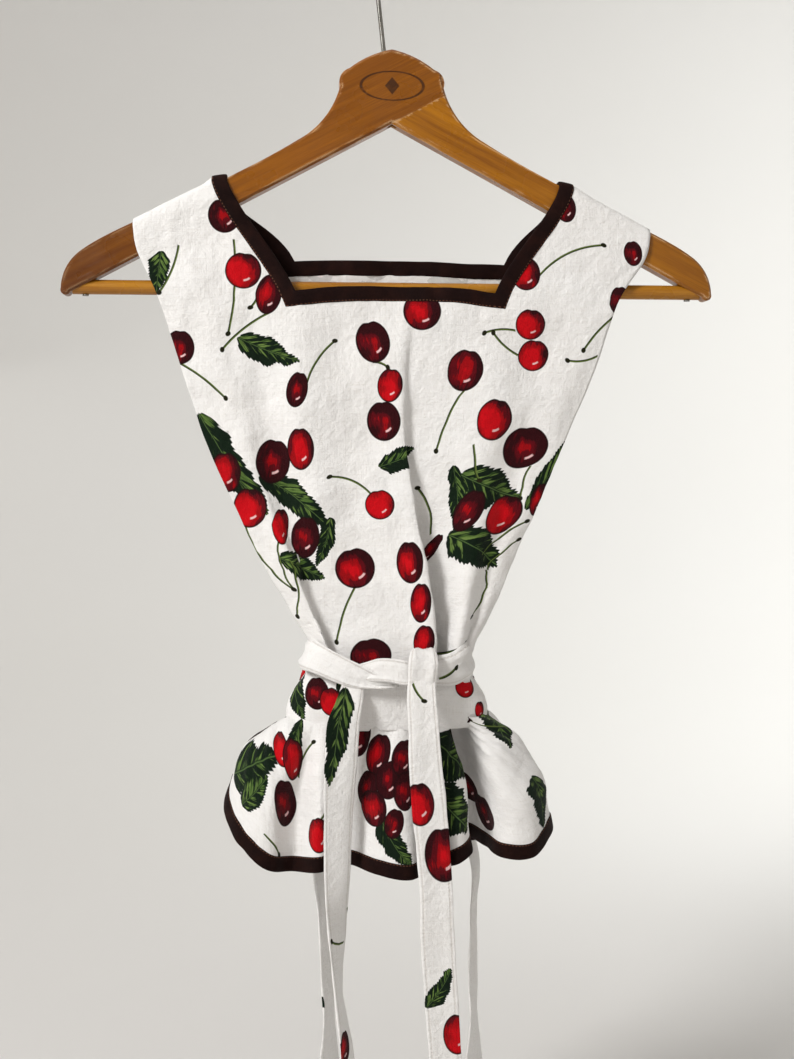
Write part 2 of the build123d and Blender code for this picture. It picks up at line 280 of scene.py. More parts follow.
def cotton(name, strength):
    """Printed cotton. strength is how much of the print shows: less on the wrong side."""
    g = Graph(name)
    cloth = g.vector("cloth")
    s, t, place = g.parts(cloth)[:3]
    slub = g.noise(g.join(g.product(s, 0.06), g.product(t, 1.3), 0.0), 1.0)
    slub_down = g.noise(g.join(g.product(s, 1.3), g.product(t, 0.06), 5.0), 1.0)
    stain = g.noise(cloth, 0.02, 3.0)
    white = g.mix(stain, colour(244, 243, 242), colour(236, 233, 230))
    uneven = g.ramp(g.math("ADD", slub, slub_down), 1.0, 1.4, 0.0, 0.35)
    white = g.mix(uneven, white, colour(216, 209, 200))
    seam = g.ramp(g.math("ABSOLUTE", g.math("SUBTRACT", g.math("ABSOLUTE", place), 0.8)), 0.07, 0.03)
    stitch = g.product(seam, g.ramp(g.math("PINGPONG", t, 1.2), 0.4, 0.7))
    # painted shade: along the topstitched line near each tie's edges the white is darkened a quarter of the
    # way to warm grey, as the shade in the stitch groove
    print_and_seam_shade = g.mix(g.product(seam, 0.25), white, colour(176, 164, 150))
    for slot_name in LEAF_SLOTS:
        print_and_seam_shade = print_leaf(g, slot_name, print_and_seam_shade)
    for slot_name in STEM_SLOTS:
        print_and_seam_shade = print_stem(g, slot_name, print_and_seam_shade)
    for slot_name in CHERRY_SLOTS:
        print_and_seam_shade = print_cherry(g, slot_name, print_and_seam_shade)
    faded = g.mix(strength, white, print_and_seam_shade)
    warp = g.math("SINE", g.product(s, 8.4))
    weft = g.math("SINE", g.product(t, 8.4))
    weave = g.math("ADD", g.product(warp, weft, 0.4), g.math("ADD", slub, slub_down))
    g.set(Base_Color=faded, Roughness=g.ramp(weave, 0.2, 1.9, 0.92, 0.8))
    g.shader.inputs["Sheen Weight"].default_value = 0.05
    g.shader.inputs["Sheen Roughness"].default_value = 0.55
    g.shader.inputs["Specular IOR Level"].default_value = 0.12
    crinkle = g.noise(g.join(s, t, 0.0), 0.2, 4.0, 0.6)
    sewn = g.math("ADD", g.product(stitch, 0.6), g.product(seam, -1.0))
    relief = g.total(g.product(weave, 0.5), g.product(crinkle, 4.0), sewn)
    g.bump(relief, 0.55, 0.001)
    return g.material


def brown_cotton():
    """The folded strips: chocolate cotton with a row of small stitches near the cloth side."""
    g = Graph("binding_cotton")
    cloth = g.vector("cloth")
    s, t, place = g.parts(cloth)[:3]
    thread = g.noise(g.join(g.product(s, 0.4), g.product(t, 3.0), 0.0), 1.0, 3.0)
    worn = g.noise(cloth, 0.07, 3.0)
    brown = g.mix(thread, colour(15, 5, 4), colour(34, 14, 10))
    brown = g.mix(g.ramp(worn, 0.4, 0.75, 0.0, 0.5), brown, colour(48, 25, 18))
    line = g.ramp(g.math("ABSOLUTE", g.math("SUBTRACT", place, 0.84)), 0.075, 0.045)
    dash = g.ramp(g.math("PINGPONG", t, 1.1), 0.45, 0.7)
    stitch = g.product(line, dash)
    brown = g.mix(stitch, brown, colour(96, 66, 52))
    warp = g.product(g.math("SINE", g.product(s, 8.4)), g.math("SINE", g.product(t, 8.4)))
    pucker = g.product(line, g.math("PINGPONG", t, 1.5), 0.5)
    height = g.total(g.product(warp, 0.35), thread, g.product(pucker, -1.0), g.product(stitch, 1.4))
    g.set(Base_Color=brown, Roughness=g.ramp(thread, 0.2, 0.8, 0.8, 0.68))
    g.shader.inputs["Sheen Weight"].default_value = 0.02
    g.shader.inputs["Specular IOR Level"].default_value = 0.1
    g.bump(height, 0.4, 0.0004)
    return g.material


# a plain oval line round a small diamond, burned into the hub, in metres
ORNAMENT_HALF_WIDTH, ORNAMENT_HALF_HEIGHT, ORNAMENT_Z = 0.021, 0.0095, -0.1115


def varnished_wood(name, slope, tones, wear, tip_painted_shade):
    """Golden varnished wood, its grain sloping down by slope degrees.

    tones are three screen colours, wear is how bare the edges are, and tip_painted_shade is painted shade
    that darkens the arm's end, where the arm stands in shadow.
    """
    g = Graph(name)
    place = g.node("TexCoord").outputs["Object"]
    turned = g.node("Mapping", {"Vector": place, "Rotation": (0.0, math.radians(slope), 0.0)}).outputs[0]
    lay = g.parts(turned)[:3]
    drift = g.streaks(lay, (6.0, 20.0, 20.0))
    years = g.streaks(lay, (9.0, 260.0, 260.0), 4.0, 0.6)
    fine = g.streaks(lay, (45.0, 1600.0, 1600.0), 3.0, 0.6)
    grain = g.math("ADD", g.product(years, 0.65), g.product(fine, 0.35))
    wood = g.mix(g.ramp(grain, 0.32, 0.7), colour(*tones[0]), colour(*tones[1]))
    wood = g.mix(g.ramp(drift, 0.35, 0.7, 0.0, 0.6), wood, colour(*tones[2]))
    pore = g.ramp(fine, 0.62, 0.72)
    wood = g.mix(g.product(pore, 0.45), wood, colour(70, 36, 12))
    rounded = g.node("Bevel", {"Radius": 0.0022}, samples=4).outputs[0]
    faced = g.node("NewGeometry").outputs["Normal"]
    edge = g.node("VectorMath", {0: rounded, 1: faced}, operation="DOT_PRODUCT").outputs["Value"]
    chips = g.streaks(lay, (60.0, 400.0, 400.0), 4.0)
    worn = g.product(g.ramp(edge, 0.985, 0.93), g.ramp(chips, 0.47, 0.6))
    wood = g.mix(g.product(worn, wear), wood, colour(216, 176, 128))
    across, depth, up = g.parts(place)[:3]
    # painted shade: the arm's outer end is darkened towards deep brown, as if it lay in shadow
    tip = g.product(g.ramp(g.math("ABSOLUTE", across), 0.12, 0.205), tip_painted_shade)
    wood = g.mix(tip, wood, colour(72, 36, 8))
    wide = g.product(across, 1.0 / ORNAMENT_HALF_WIDTH)
    high = g.product(g.math("SUBTRACT", up, ORNAMENT_Z), 1.0 / ORNAMENT_HALF_HEIGHT)
    oval = g.math("SQRT", g.math("ADD", g.product(wide, wide), g.product(high, high)))
    ring = g.product(g.ramp(oval, 0.9, 0.93), g.ramp(oval, 1.02, 0.99))
    gem = g.math("ADD", g.product(g.math("ABSOLUTE", wide), 2.6), g.math("ABSOLUTE", high))
    mark = g.product(g.math("MAXIMUM", ring, g.ramp(gem, 0.62, 0.54)), g.ramp(depth, -0.0055, -0.0062))
    wood = g.mix(g.product(mark, g.ramp(chips, 0.3, 0.5, 0.55, 0.85)), wood, colour(46, 24, 10))
    nick = g.ramp(g.noise(place, 210.0, 4.0, 0.7), 0.72, 0.76)
    wood = g.mix(g.product(nick, 0.5), wood, colour(222, 190, 150))
    smudge = g.noise(place, 34.0, 3.0)
    rough = g.math("ADD", g.ramp(smudge, 0.3, 0.7, 0.24, 0.4), g.product(worn, 0.3 * wear))
    g.set(Base_Color=wood, Roughness=rough)
    g.shader.inputs["Specular IOR Level"].default_value = 0.35
    g.shader.inputs["Coat Weight"].default_value = 0.12
    g.shader.inputs["Coat Roughness"].default_value = 0.2
    g.bump(g.total(grain, g.product(pore, -0.8), g.product(nick, -0.8)), 0.22, 0.0004)
    return g.material


def steel_wire():
    """Drawn steel wire, dulled, with a few dark specks."""
    g = Graph("steel")
    place = g.node("TexCoord").outputs["Object"]
    drawn = g.streaks(g.parts(place)[:3], (900.0, 900.0, 40.0), 3.0)
    spot = g.ramp(g.noise(place, 420.0, 3.0), 0.6, 0.72)
    steel = g.mix(drawn, colour(112, 110, 106), colour(160, 158, 152))
    steel = g.mix(g.product(spot, 0.7), steel, colour(92, 76, 60))
    g.set(Base_Color=steel, Metallic=1.0)
    g.set(Roughness=g.math("ADD", g.ramp(drawn, 0.3, 0.7, 0.24, 0.4), g.product(spot, 0.3)))
    g.bump(g.math("ADD", drawn, g.product(spot, -0.5)), 0.2, 0.0002)
    return g.material


def plain_wall():
    g = Graph("studio_wall")
    place = g.node("TexCoord").outputs["Object"]
    tint = g.noise(place, 0.6, 2.0)
    g.set(Base_Color=g.mix(tint, colour(215, 212, 207), colour(221, 219, 217)), Roughness=0.95)
    g.shader.inputs["Specular IOR Level"].default_value = 0.1
    return g.material


RIGHT_SIDE = cotton("cotton_print", 1.0)
WRONG_SIDE = cotton("cotton_wrong_side", 0.25)
BROWN = brown_cotton()
# the left arm's wood has darker tones and more darkening at its end than the right arm's: painted shade, as
# the left arm lies in shadow
LEFT_WOOD_PAINTED_SHADE = varnished_wood("wood_left_painted_shade", 27.0, ((108, 60, 8), (150, 90, 15), (126, 72, 10)), 0.8, 0.6)
RIGHT_WOOD = varnished_wood("wood_right", -27.0, ((124, 72, 6), (172, 110, 16), (146, 90, 10)), 0.8, 0.15)
BAR_WOOD = varnished_wood("wood_bar", 0.0, ((146, 92, 22), (188, 130, 42), (164, 110, 30)), 0.0, 0.1)
STEEL = steel_wire()

# ---------------------------------------------------------------- stage

FLOOR = -0.9
STAGE_PROFILE = (
    (0.0, FLOOR), (0.8, FLOOR), (1.5, -0.85), (2.1, -0.68), (2.6, -0.3), (2.9, 0.35), (3.0, 1.2), (3.0, 3.2)
)
STAGE_SIDES = 72


def build_stage():
    spots = dense(np.array(STAGE_PROFILE), 8)
    vertices = []
    for radius, height in spots:
        for side in range(STAGE_SIDES):
            angle = 2 * math.pi * side / STAGE_SIDES
            vertices.append((radius * math.cos(angle), radius * math.sin(angle), height))
    faces = []
    for ring in range(len(spots) - 1):
        for side in range(STAGE_SIDES):
            following = (side + 1) % STAGE_SIDES
            a, b = ring * STAGE_SIDES, (ring + 1) * STAGE_SIDES
            faces.append((a + side, b + side, b + following, a + following))
    mesh = bpy.data.meshes.new("studio")
    mesh.from_pydata(vertices, [], faces)
    mesh.shade_smooth()
    mesh.materials.append(plain_wall())
    studio = bpy.data.objects.new("studio", mesh)
    scene.collection.objects.link(studio)


# ---------------------------------------------------------------- surfaces


def spline_weights(count, per_span):
    """Weights that turn count control values into a smooth dense run through all of them."""
    rows = []
    for step in range((count - 1) * per_span + 1):
        span = min(step // per_span, count - 2)
        u = step / per_span - span
        cubic = (
            -0.5 * u**3 + u**2 - 0.5 * u,
            1.5 * u**3 - 2.5 * u**2 + 1.0,
            -1.5 * u**3 + 2.0 * u**2 + 0.5 * u,
            0.5 * u**3 - 0.5 * u**2,
        )
        row = np.zeros(count + 2)
        row[span : span + 4] = cubic
        row[1] += 2 * row[0]
        row[2] -= row[0]
        row[-2] += 2 * row[-1]
        row[-3] -= row[-1]
        rows.append(row[1:-1])
    return np.array(rows)


def dense(points, per_span):
    return spline_weights(len(points), per_span) @ np.asarray(points, float)


def dense_net(net, per_row, per_column):
    net = np.asarray(net, float)
    down = spline_weights(net.shape[0], per_row)
    along = spline_weights(net.shape[1], per_column)
    return np.einsum("ri,cj,ijk->rck", down, along, net)


def unit(vectors):
    return vectors / np.maximum(np.linalg.norm(vectors, axis=-1, keepdims=True), 1e-9)


def normals_of(points):
    """Outward normals of a grid whose rows go down and whose columns go to the viewer's right."""
    return unit(np.cross(np.gradient(points, axis=0), np.gradient(points, axis=1)))


def run_lengths(points, axis):
    steps = np.linalg.norm(np.diff(points, axis=axis), axis=-1)
    start = np.zeros_like(np.take(steps, [0], axis=axis))
    return np.cumsum(np.concatenate([start, steps], axis=axis), axis=axis)


def lay_out(points, column):
    """Flat cloth coordinates of a grid in millimetres: across from one column, and down it."""
    across = run_lengths(points, 1)
    across = across - across[:, column : column + 1]
    down = -run_lengths(points, 0)[:, column : column + 1]
    return across, np.broadcast_to(down, across.shape)


def rumple(points, size, height, seed, damp=None):
    """Moves a grid's points along its normals by smooth seeded noise."""
    normals = normals_of(points)
    flat = points.reshape(-1, 3) / size
    lifts = [noise.noise(Vector((p[0] + seed, p[1] * 0.6, p[2] - seed))) for p in flat]
    lifts = np.array(lifts).reshape(points.shape[:2] + (1,)) * height
    if damp is not None:
        lifts = lifts * damp[..., None]
    return points + normals * lifts


def corners(values):
    """The values at each quad's four corners, in the order of the quad's vertices."""
    return np.stack([values[:-1, :-1], values[1:, :-1], values[1:, 1:], values[:-1, 1:]], axis=2)


def paint(across, down, motifs):
    """Slot arrays for the print: each quad near a motif holds the motif's own coordinates."""
    shape = (across.shape[0] - 1, across.shape[1] - 1)
    layers = {n: np.zeros(shape + (4, 3)) for names in SLOTS.values() for n in names}
    taken = {n: np.zeros(shape, bool) for n in layers}
    for name in layers:
        layers[name][..., :2] = NOWHERE
    for kind, centre, angle, half, third, bend in motifs:
        x, y = across - centre[0], down - centre[1]
        along = x * math.cos(angle) + y * math.sin(angle)
        out = -x * math.sin(angle) + y * math.cos(angle)
        if kind == "cherry":
            local = np.stack([along / half[0], out / half[1], np.full_like(along, third)], -1)
            near = (np.abs(along) < half[0] + 2.5) & (np.abs(out) < half[1] + 2.5)
        elif kind == "leaf":
            out = out - bend * (1 - (along / half) ** 2)
            slim, seed = third
            local = np.stack([along / half, out / half / slim, np.full_like(along, seed)], -1)
            near = (np.abs(along) < half + 3.0) & (np.abs(out) < half * slim * 0.5 + 3.0)
        else:
            out = out - bend * (1 - (along / half) ** 2)
            local = np.stack([along, out, np.full_like(along, half)], -1)
            near = (np.abs(along) < half + 4.0) & (np.abs(out) < 4.5)
        local_corners = corners(local)
        left = corners(near).any(axis=2)
        for name in SLOTS[kind]:
            here = left & ~taken[name]
            layers[name][here] = local_corners[here]
            taken[name] |= here
            left = left & ~here
    return layers


def build(name, points, across, down, body, motifs=None, keep=None, wrapped=False, place=None, skins=None):
    """A mesh object from a grid of points in millimetres, with its cloth coordinates and its print."""
    rows, columns = points.shape[:2]
    width = columns - 1 if wrapped else columns
    index = np.arange(rows)[:, None] * width + (np.arange(columns) % width)[None, :]
    quads = corners(index)
    flat = np.stack([across, down, np.zeros_like(across) if place is None else place], -1)
    layers = {"cloth": corners(flat)}
    if motifs is not None:
        layers.update(paint(across, down, motifs))
    if keep is None:
        keep = np.ones(quads.shape[:2], bool)
    faces = quads[keep].tolist()
    data = {key: value[keep].reshape(-1, 3) for key, value in layers.items()}
    if wrapped:
        first, last = index[0, :width], index[-1, :width]
        for ring in (first, last[::-1]):
            faces.append(ring.tolist())
            for key in data:
                filler = np.tile([NOWHERE, NOWHERE, 0.0], (width, 1))
                if key == "cloth":
                    filler = np.zeros((width, 3))
                data[key] = np.concatenate([data[key], filler])
    vertices = points[:, :width].reshape(-1, 3) * MM
    mesh = bpy.data.meshes.new(name)
    mesh.from_pydata(vertices.tolist(), [], faces)
    for key, value in data.items():
        attribute = mesh.attributes.new(key, "FLOAT_VECTOR", "CORNER")
        attribute.data.foreach_set("vector", value.astype(np.float32).ravel())
    loose = [v for v, used in zip(range(len(vertices)), used_vertices(faces, len(vertices))) if not used]
    mesh.shade_smooth()
    for skin in skins or (RIGHT_SIDE, WRONG_SIDE):
        mesh.materials.append(skin)
    made = bpy.data.objects.new(name, mesh)
    scene.collection.objects.link(made)
    if loose:
        drop_vertices(mesh, loose)
    if body:
        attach(made, body)
    return made


def used_vertices(faces, count):
    used = np.zeros(count, bool)
    for face in faces:
        used[face] = True
    return used


def drop_vertices(mesh, loose):
    work = bmesh.new()
    work.from_mesh(mesh)
    work.verts.ensure_lookup_table()
    bmesh.ops.delete(work, geom=[work.verts[v] for v in loose], context="VERTS")
    work.to_mesh(mesh)
    work.free()


def panel(name, cloth, motifs, thickness, node, keep=None):
    """A single surface given the cloth's thickness, with the wrong side behind, in a CAD node's place."""
    made = build(name, *cloth, "apron", motifs, keep)
    solid = made.modifiers.new("thickness", "SOLIDIFY")
    solid.thickness = thickness * MM
    solid.offset = -1.0
    solid.material_offset = 1
    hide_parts(node)
    return made


# ---------------------------------------------------------------- the print's layout


def pin(cloth, x, z):
    """Cloth coordinates of the foremost spot of a grid at x, z as seen from outside."""
    points, across, down = cloth
    outward = np.abs(points[..., 1])
    miss = (points[..., 0] - x) ** 2 + (points[..., 2] - z) ** 2 - 0.6 * outward
    spot = np.unravel_index(np.argmin(miss), miss.shape)
    side = 1.0 if points[0, -1, 0] > points[0, 0, 0] else -1.0
    shift = (side * (x - points[spot][0]), z - points[spot][2])
    return np.array([across[spot] + shift[0], down[spot] + shift[1]])


LEAF_GROWTH, CHERRY_GROWTH = 1.14, 1.07


def pinned(cloth, cherries, stems, leaves, seed):
    """Motifs at chosen places: cherries (x, z, half width, half height, tone), stems and leaves by ends."""
    chance = random.Random(seed)
    motifs = []
    for x0, z0, x1, z1, slim in leaves:
        a, b = pin(cloth, x0, z0), pin(cloth, x1, z1)
        half = max(float(np.linalg.norm(b - a)) / 2 * LEAF_GROWTH, 6.0)
        turn = math.atan2(b[1] - a[1], b[0] - a[0])
        bend = chance.uniform(-2.5, 2.5)
        motifs.append(("leaf", (a + b) / 2, turn, half, (slim, chance.random() * 9), bend))
    for x0, z0, x1, z1 in stems:
        a, b = pin(cloth, x0, z0), pin(cloth, x1, z1)
        half = max(float(np.linalg.norm(b - a)) / 2, 4.0)
        turn = math.atan2(b[1] - a[1], b[0] - a[0])
        bend = chance.choice((-1, 1)) * half * chance.uniform(0.08, 0.25)
        motifs.append(("stem", (a + b) / 2, turn, half, 0.0, bend))
    for x, z, rx, rz, tone in cherries:
        turn = chance.uniform(-0.25, 0.25)
        size = (rx * CHERRY_GROWTH, rz * CHERRY_GROWTH)
        motifs.append(("cherry", pin(cloth, x, z), turn, size, tone, 0.0))
    return motifs


def scattered(cloth, seed, pitch=50.0):
    """Pairs of cherries on stems with a leaf, strewn over a whole grid in seeded places."""
    across, down = cloth[1], cloth[2]
    chance = random.Random(seed)
    motifs = []
    low, high = float(across.min()), float(across.max())
    bottom, top = float(down.min()), float(down.max())
    rows = int((top - bottom) / pitch) + 2
    columns = int((high - low) / pitch) + 2
    for row in range(rows):
        for column in range(columns):
            s = low + (column + 0.5 * (row % 2) + chance.uniform(-0.18, 0.18)) * pitch
            t = top - (row + chance.uniform(-0.18, 0.18)) * pitch
            turn = chance.uniform(-0.9, 0.9) + (math.pi if chance.random() < 0.3 else 0.0)
            motifs.extend(sprig(chance, s, t, turn))
    return motifs


def sprig(chance, s, t, turn):
    """Two cherries hung on stems from one point, and a leaf beside it."""

    def place(x, y):
        return np.array(
            [s + x * math.cos(turn) - y * math.sin(turn), t + x * math.sin(turn) + y * math.cos(turn)]
        )

    motifs = []
    knot = place(0.0, 17.0)
    tip = place(chance.choice((-24.0, 24.0)), chance.uniform(14.0, 26.0))
    leaf_turn = math.atan2(*(tip - knot)[::-1])
    half = float(np.linalg.norm(tip - knot)) / 2 + 2.0
    slim, bend = chance.uniform(0.75, 1.0), chance.uniform(-2.0, 2.0)
    motifs.append(("leaf", (knot + tip) / 2, leaf_turn, half, (slim, chance.random() * 9), bend))
    for x, y in ((-10.0, -9.0), (9.5, -13.0)):
        foot = place(x, y + 8.0)
        stem_turn = math.atan2(*(knot - foot)[::-1])
        half = float(np.linalg.norm(foot - knot)) / 2
        motifs.append(("stem", (knot + foot) / 2, stem_turn, half, 0.0, chance.uniform(-2.5, 2.5)))
        size = (chance.uniform(8.5, 11.0), chance.uniform(9.5, 12.5))
        tone = chance.choice((0.15, 0.3, 0.55, 0.8, 0.9))
        motifs.append(("cherry", place(x, y), turn + chance.uniform(-0.3, 0.3), size, tone, 0.0))
    return motifs


# ---------------------------------------------------------------- bodices

SHOULDER_X, SHOULDER_Z, SHOULDER_FALL = 61.0, -146.7, 0.51
STRAP_ROWS = ((0.0, 2.4, 0.0), (5.6, 1.5, 0.0), (8.4, -4.5, 0.02), (9.2, -20.0, 0.2))
ROW_STEPS, COLUMN_STEPS = 12, 9
NECK_LEFT, NECK_RIGHT = 5, 12
CLOTH, BAND_CLOTH = 0.8, 1.4  # thickness of one layer, and of the lined waistband

TOPS = (-166, -155, -144, -133, -122, -111, -80, -45, -10, 20, 50, 80, 114, 134, 152, 170)
FRONT_ROWS = (
    (
        (-249, -249, -249, -250, -250, -249, -246, -245, -245, -245, -245, -246, -249, -250, -251, -250),
        (-150, -134, -119, -105, -88, -66, -40, -14, 6, 16, 26, 46, 70, 104, 128, 148),
        (8.5, 9.5, 10.5, 10.8, 11, 11, 11, 11, 11, 11, 11, 11, 11, 10.8, 10, 8.5),
    ),
    (
        (-300,) * 16,
        (-134, -121, -107, -95, -84, -62, -34, -12, 5, 9, 18, 40, 70, 96, 116, 131),
        (9, 11, 12.5, 11, 10, 15.5, 12, 13, 14, 10.5, 10, 12, 15.5, 11, 11, 9),
    ),
    (
        (-340,) * 16,
        (-120.5, -108, -95, -86, -77, -56, -30, -10, 7, 8.5, 15, 35, 62, 84, 101, 113),
        (9, 11.5, 14, 11.5, 10.5, 16.5, 13.5, 15.5, 16.5, 10.5, 9, 12, 17, 11.5, 11, 9),
    ),
    (
        (-380,) * 16,
        (-103.5, -93, -82, -76, -70, -50, -26, -6, 13, 8, 17, 34, 56, 74, 87, 96),
        (9, 12, 15, 12, 10.5, 17, 15.5, 18.5, 20, 11, 7, 12, 19, 12, 12, 9),
    ),
    (
        (-420,) * 16,
        (-84, -75, -66, -63, -59, -42, -20, 0, 20.5, 11, 20, 33, 50, 62, 71, 79),
        (10, 14, 17.5, 13, 10.5, 16.5, 17, 20.5, 23.5, 11, 5, 11, 22, 13.5, 13, 10),
    ),
    (
        (-450,) * 16,
        (-66, -60, -53, -54, -50, -36, -14, 6, 25, 13, 23, 34, 46, 54, 60, 65),
        (11, 16, 19.5, 13, 11, 16, 20, 22.5, 25.5, 12, 5, 12, 23, 14, 14.5, 11),
    ),
    (
        (-478,) * 16,
        (-50, -47, -41, -46, -42, -28, -8, 10, 27, 15, 24, 32, 40, 45, 48, 51),
        (12, 17, 22, 14, 11.5, 16.5, 21, 24, 25.5, 13, 7, 14, 23.5, 16, 17, 12),
    ),
    (
        (-498,) * 16,
        (-50, -46, -41, -44, -39, -27, -8, 9, 24, 17, 21, 31, 40, 45, 48, 51),
        (12, 15, 18, 14, 12.5, 15, 18, 20, 19.5, 14, 11, 15, 18, 16, 15, 12),
    ),
)
BACK_ROWS = (
    (
        (-240, -239, -236, -233, -230, -227, -226, -226, -226, -226, -226, -227, -228, -234, -238, -240),
        (-150, -134, -117, -100, -84, -66, -44, -20, 4, 16, 28, 48, 79, 104, 126, 147),
        (8.5, 9.5, 10.5, 10.8, 11, 11, 11, 11, 11, 11, 11, 11, 11, 10.8, 10, 8.5),
    ),
    (
        (-300,) * 16,
        (-128, -117, -105, -94, -83, -62, -36, -14, 4, 12, 20, 42, 69, 93, 112, 126),
        (9, 10.5, 11.5, 12, 12.5, 13, 12, 13, 13.5, 13, 12.5, 12, 13.5, 12, 10.5, 9),
    ),
    (
        (-350,) * 16,
        (-107, -97, -86, -77, -69, -52, -30, -12, 2, 12, 22, 39, 58, 76, 92, 105),
        (9, 11, 13.5, 12.5, 12, 15, 12.5, 14.5, 17, 15, 12.5, 13, 16, 13, 11, 9),
    ),
    (
        (-400,) * 16,
        (-86, -79, -70, -63, -57, -42, -24, -9, 4, 11, 19, 33, 47, 61, 74, 84),
        (9.5, 13, 16.5, 14, 12, 17.5, 13, 16, 20, 17, 12, 15, 18.5, 14, 12, 9.5),
    ),
    (
        (-445,) * 16,
        (-67, -60, -53, -50, -45, -34, -18, -6, 6, 10, 16, 27, 38, 47, 55, 61),
        (11, 15, 19.5, 15, 12, 19, 13.5, 17.5, 22, 17, 12, 16.5, 20.5, 15, 14, 11),
    ),
    (
        (-478,) * 16,
        (-51, -47, -42, -44, -39, -28, -12, -2, 8, 10, 15, 26, 36, 43, 48, 50),
        (12, 16, 20.5, 15, 12.5, 20, 14, 18, 22.5, 17, 12.5, 17, 21, 16, 15.5, 12),
    ),
    (
        (-498,) * 16,
        (-51, -47, -42, -42, -37, -27, -12, -2, 8, 11, 16, 26, 36, 43, 48, 50),
        (12, 15, 17.5, 14, 12.5, 17, 14, 16.5, 19, 16, 12.5, 15.5, 18, 15, 14, 12),
    ),
)


def shoulder(x):
    return SHOULDER_Z - (abs(x) - SHOULDER_X) * SHOULDER_FALL


def bodice_net(rows, side):
    """Control net of a bodice: strap rows over the arms, then the panel's own rows. side is -1 in front."""
    first = rows[0]
    net = []
    for depth, rise, share in STRAP_ROWS:
        row = []
        for column, top in enumerate(TOPS):
            x = top + (first[1][column] - top) * share
            if NECK_LEFT < column < NECK_RIGHT:
                part = (column - NECK_LEFT) / (NECK_RIGHT - NECK_LEFT)
                z = shoulder(TOPS[NECK_LEFT]) * (1 - part) + shoulder(TOPS[NECK_RIGHT]) * part
            else:
                z = shoulder(top)
            row.append((x, side * depth, z + rise))
        net.append(row)
    for heights, places, depths in rows:
        net.append([(x, side * y, z) for x, y, z in zip(places, depths, heights)])
    return np.array(net)


def lay_flat(points, side, strap_rows):
    """Cloth coordinates of a bodice: as it lies in the front view, unrolled at its folds and shoulders."""
    middle = 7 * COLUMN_STEPS
    width = -side * points[..., 0]
    across = lay_out(points, middle)[0] + width[:, middle : middle + 1]
    across[:strap_rows] = width[:strap_rows]
    down = points[..., 2].copy()
    edge = 2 * ROW_STEPS
    over = run_lengths(points[: edge + 1], 0)
    down[: edge + 1] = down[edge] + (over[-1] - over)
    return across, down


def bodice(rows, side, seed):
    """A bodice's grid and cloth coordinates, which quads it keeps, and the path of its neck edge."""
    net = bodice_net(rows, side)
    if side > 0:
        net = net[:, ::-1]
    points = dense_net(net, ROW_STEPS, COLUMN_STEPS)
    count = points.shape[0]
    fade = np.clip((np.arange(count) - 2.2 * ROW_STEPS) / (1.5 * ROW_STEPS), 0, 1)[:, None]
    fade = np.broadcast_to(fade, points.shape[:2])
    points = rumple(points, 44.0, 3.2, seed + 9, fade)
    points = rumple(points, 24.0, 1.5, seed, fade)
    points = rumple(points, 9.5, 0.85, seed + 3, 0.35 + 0.65 * fade)
    points = rumple(points, 6.0, 0.3, seed + 5, 0.35 + 0.65 * fade)
    strap_rows = len(STRAP_ROWS) * ROW_STEPS
    across, down = lay_flat(points, side, strap_rows)
    left, right = NECK_LEFT, NECK_RIGHT
    if side > 0:
        left, right = len(TOPS) - 1 - NECK_RIGHT, len(TOPS) - 1 - NECK_LEFT
    keep = np.ones((points.shape[0] - 1, points.shape[1] - 1), bool)
    keep[:strap_rows, left * COLUMN_STEPS : right * COLUMN_STEPS] = False
    path = [(r, left * COLUMN_STEPS) for r in range(strap_rows)]
    path += [(strap_rows, c) for c in range(left * COLUMN_STEPS, right * COLUMN_STEPS + 1)]
    path += [(r, right * COLUMN_STEPS) for r in range(strap_rows - 1, -1, -1)]
    return (points, across, down), keep, path


def edge_strip(cloth, path, half):
    """The two edges of a strip centred on a path of grid spots, mitred where the path turns a corner."""
    points = cloth[0]
    line = np.array([points[p] for p in path])
    last = len(path) - 1
    corner = [i for i in range(1, last) if path[i - 1][1] == path[i][1] != path[i + 1][1]]
    corner += [i for i in range(1, last) if path[i - 1][0] == path[i][0] != path[i + 1][0]]
    normal = normals_of(points)
    chosen, sides = [], []
    for i, spot in enumerate(path):
        reach = min([np.linalg.norm(line[i] - line[c]) for c in corner] + [1000.0])
        if 0 < reach < half * 1.15:
            continue
        before, after = line[max(i - 1, 0)], line[min(i + 1, last)]
        along, stretch = unit(after - before), 1.0
        if i in corner:
            one, two = unit(line[i] - before), unit(after - line[i])
            along = unit(one + two)
            stretch = 1.0 / max(float(along @ one), 0.6)
        chosen.append(line[i] - normal[spot] * STRIP_INSET)
        sides.append(unit(np.cross(normal[spot], along)) * half * stretch)
    chosen, sides = np.array(chosen), np.array(sides)
    return chosen - sides, chosen + sides


# ---------------------------------------------------------------- strips

BINDING_HALF, BINDING_THICK, STRIP_INSET = 5.0, 2.2, 0.4
FLATNESS = 0.55  # of a strip's section, from 1 for an ellipse towards 0 for a slab


